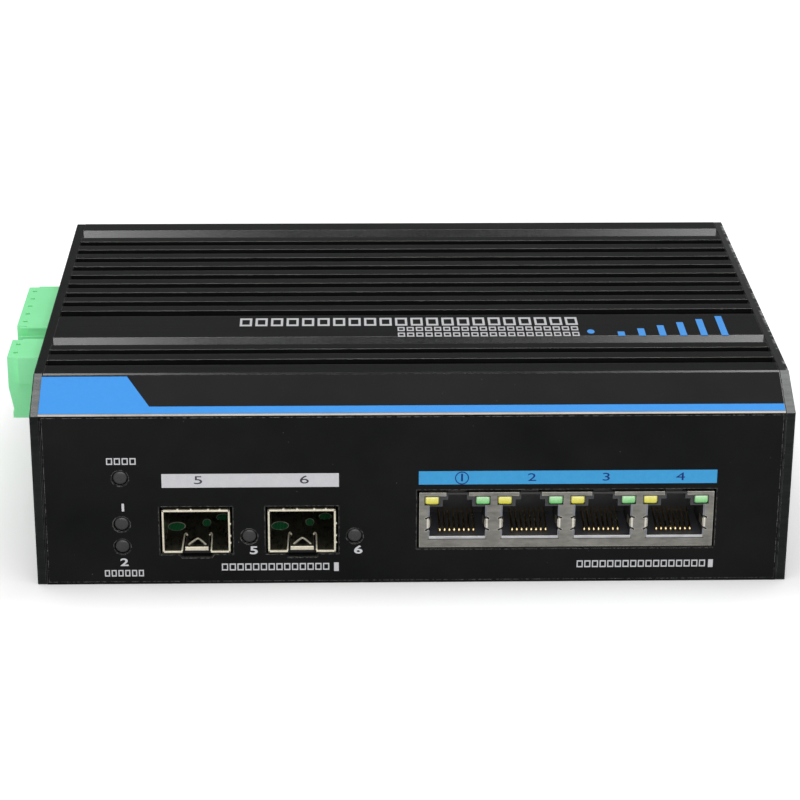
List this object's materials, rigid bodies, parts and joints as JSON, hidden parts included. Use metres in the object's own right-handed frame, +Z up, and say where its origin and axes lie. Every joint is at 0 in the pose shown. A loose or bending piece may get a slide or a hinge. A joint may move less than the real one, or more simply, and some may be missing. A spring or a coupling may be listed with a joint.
{
  "type": "din rail ethernet switch",
  "caption": "Industrial ethernet switch in a finned metal case with copper ports, fibre cages, pull-off screw terminals and a sprung rear clip for a mounting rail.",
  "frame": {"origin": "centre of the underside of the case", "axes": "+X to the right along the front, +Y to the rear, +Z up through the finned top"},
  "size_m": [0.167, 0.118, 0.0435],
  "materials": {
    "case_black": "satin black powder coat on aluminium, bare at worn edges",
    "front_film": "printed black film",
    "shoulder_film": "printed blue and black film",
    "screw_steel": "zinc plated",
    "board_green": "green solder mask",
    "brass_nickel": "nickel plated brass",
    "shield_steel": "tin plated",
    "jack_plastic": "moulded",
    "gold_contact": "gold plated",
    "lamp_yellow": "clear tinted",
    "lamp_green": "clear tinted",
    "lamp_smoke": "smoked",
    "cage_metal": "plated copper alloy",
    "chip_plastic": "moulded epoxy",
    "sink_aluminium": "extruded",
    "can_metal": "drawn can",
    "pad_grey": "soft filled silicone",
    "ferrite": "sintered",
    "winding_tape": "tape wound",
    "relay_plastic": "moulded",
    "terminal_green": "moulded",
    "tinned_brass": "tin plated",
    "clamp_screw": "zinc plated",
    "clip_steel": "zinc plated sheet",
    "latch_black": "moulded",
    "spring_steel": "spring wire"
  },
  "bodies": {
    "case": {"finned_profile": "case_black", "base_plate": "case_black", "end_plate_left": "case_black", "end_plate_right": "case_black", "front_label": "front_film", "shoulder_label": "shoulder_film", "end_plate_screws": "screw_steel", "base_screws": "screw_steel", "rail_plate_screws": "screw_steel", "board_screws": "screw_steel", "power_board_screws": "screw_steel", "main_board": "board_green", "power_board": "board_green", "board_standoffs": "brass_nickel", "jack_shield": "shield_steel", "jack_body": "jack_plastic", "fibre_connector_1": "jack_plastic", "fibre_connector_2": "jack_plastic", "link_header": "jack_plastic", "link_socket": "jack_plastic", "alarm_lamp_holder": "jack_plastic", "power_lamp_holder": "jack_plastic", "fibre_lamp_holder_1": "jack_plastic", "fibre_lamp_holder_2": "jack_plastic", "jack_contacts": "gold_contact", "link_pins": "gold_contact", "yellow_lamps": "lamp_yellow", "green_lamps": "lamp_green", "alarm_lamp": "lamp_smoke", "power_lamp_1": "lamp_smoke", "power_lamp_2": "lamp_smoke", "fibre_lamp_1": "lamp_smoke", "fibre_lamp_2": "lamp_smoke", "fibre_cage_1": "cage_metal", "fibre_cage_2": "cage_metal", "switch_chip": "chip_plastic", "port_power_chip": "chip_plastic", "line_transformers": "chip_plastic", "power_transistors": "chip_plastic", "inductors": "chip_plastic", "chip_heat_sink": "sink_aluminium", "clock_crystal": "can_metal", "capacitors": "can_metal", "thermal_pad": "pad_grey", "transformer_core": "ferrite", "transformer_coil": "winding_tape", "alarm_relay": "relay_plastic", "power_header": "terminal_green", "alarm_header": "terminal_green", "power_header_pins": "tinned_brass", "alarm_header_pins": "tinned_brass", "rail_plate": "clip_steel", "latch_spring": "spring_steel"},
    "rail_latch": {"rail_latch": "latch_black"},
    "power_plug": {"power_plug": "terminal_green", "power_plug_clamps": "tinned_brass", "power_plug_screws": "clamp_screw"},
    "alarm_plug": {"alarm_plug": "terminal_green", "alarm_plug_clamps": "tinned_brass", "alarm_plug_screws": "clamp_screw"}
  },
  "joints": [
    {"name": "latch_slide", "type": "slide", "parent": "case", "child": "rail_latch", "axis": [-1, 0, 0], "range_m": [0, 0.0035], "stiffness_N_per_m": 1500, "springref_m": -0.002, "deforming": ["latch_spring"]},
    {"name": "power_plug_pull", "type": "slide", "parent": "case", "child": "power_plug", "axis": [-1, 0, 0], "range_m": [0, 0.012]},
    {"name": "alarm_plug_pull", "type": "slide", "parent": "case", "child": "alarm_plug", "axis": [-1, 0, 0], "range_m": [0, 0.012]}
  ]
}
